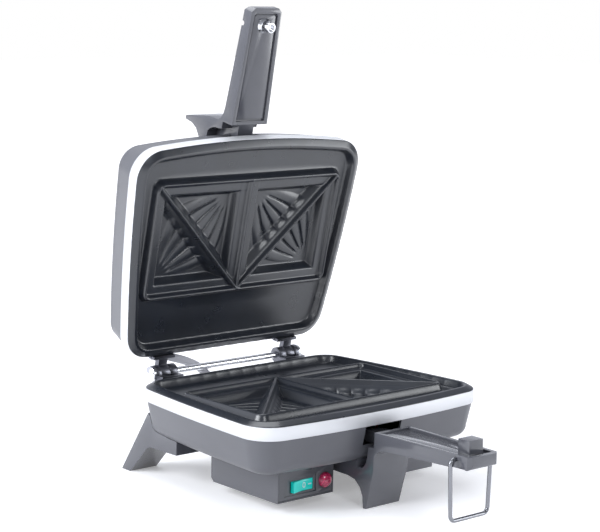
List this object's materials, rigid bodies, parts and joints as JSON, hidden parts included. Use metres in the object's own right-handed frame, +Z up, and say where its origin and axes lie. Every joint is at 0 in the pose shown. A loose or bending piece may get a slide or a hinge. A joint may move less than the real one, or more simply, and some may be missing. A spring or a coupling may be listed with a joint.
{
  "type": "sandwich toaster",
  "caption": "Electric sandwich toaster with two hinged triangle-pocket plates, long front handles, a swinging wire latch, a green rocker switch and a red lamp",
  "frame": {"origin": "middle of the underside of the whole part's bounding box, on the table plane", "axes": "+Z up, -Y towards the handles, X along the hinge, right-handed"},
  "size_m": [0.296, 0.4271, 0.4794],
  "materials": {
    "coated_aluminium": "die-cast aluminium with a slate-grey non-stick coating",
    "polished_band": "polished sheet band",
    "black_housing": "satin black heat-resistant moulding",
    "black_handle": "glossy black moulding",
    "bright_steel": "polished plated steel",
    "wire_steel": "drawn steel wire",
    "pressed_steel": "zinc-plated pressed steel",
    "zinc_screw": "zinc-plated fasteners",
    "heater_sheath": "heat-stained steel sheath",
    "reflector_sheet": "bright aluminium sheet",
    "black_panel": "glossy black panel",
    "switch_black": "matt black switch body",
    "green_rocker": "translucent turquoise-green rocker",
    "red_lens": "translucent red lens",
    "pale_ceramic": "pale insulating block",
    "brown_phenolic": "brown phenolic body",
    "lead_cover": "red silicone lead covering",
    "grey_sleeve": "grey heat-resistant sleeve",
    "black_rubber": "black rubber bush"
  },
  "bodies": {
    "base": {"base_plate": "coated_aluminium", "base_band": "polished_band", "base_housing": "black_housing", "base_heater": "heater_sheath", "base_heater_clamps": "pressed_steel", "base_reflector": "reflector_sheet", "base_reflector_screws": "zinc_screw", "base_housing_screws": "zinc_screw", "thermostat": "brown_phenolic", "thermal_fuse": "pale_ceramic", "control_box": "black_housing", "control_panel": "black_panel", "switch_body": "switch_black", "indicator_lens": "red_lens", "lamp_holder": "pale_ceramic", "terminal_box": "black_housing", "terminal_block": "pale_ceramic", "cord_gland": "black_rubber", "box_screws": "zinc_screw", "rear_leg_left": "black_handle", "rear_leg_right": "black_handle", "rear_leg_screws": "zinc_screw", "base_handle": "black_handle", "base_handle_screws": "zinc_screw", "latch_block": "black_handle", "hinge_rod": "bright_steel", "hinge_cap_nuts": "bright_steel", "base_hinge_left": "pressed_steel", "base_hinge_right": "pressed_steel", "base_hinge_screws": "zinc_screw", "inner_leads": "lead_cover", "lead_sleeve": "grey_sleeve", "base_grommet": "black_rubber"},
    "lid": {"lid_plate": "coated_aluminium", "lid_band": "polished_band", "lid_housing": "black_housing", "lid_heater": "heater_sheath", "lid_heater_clamps": "pressed_steel", "lid_reflector": "reflector_sheet", "lid_reflector_screws": "zinc_screw", "lid_housing_screws": "zinc_screw", "lid_handle": "black_handle", "lid_handle_screws": "zinc_screw", "lid_peg": "bright_steel", "lid_hinge_left": "pressed_steel", "lid_hinge_right": "pressed_steel", "lid_hinge_screws": "zinc_screw", "lid_grommet": "black_rubber"},
    "bail": {"bail": "wire_steel"},
    "rocker": {"switch_rocker": "green_rocker"}
  },
  "joints": [
    {"name": "lid_hinge", "type": "hinge", "parent": "base", "child": "lid", "pos_m": [0, 0.16859, 0.1], "axis": [-1, 0, 0], "range_deg": [-77.5, 102.5], "deforming": ["lead_sleeve"]},
    {"name": "bail_pivot", "type": "hinge", "parent": "base", "child": "bail", "pos_m": [0, -0.19541, 0.0745], "axis": [-1, 0, 0], "range_deg": [-65, 180]},
    {"name": "rocker_pivot", "type": "hinge", "parent": "base", "child": "rocker", "pos_m": [-0.0722, -0.03591, 0.0238], "axis": [0, 0, -1], "range_deg": [0, 14]}
  ]
}
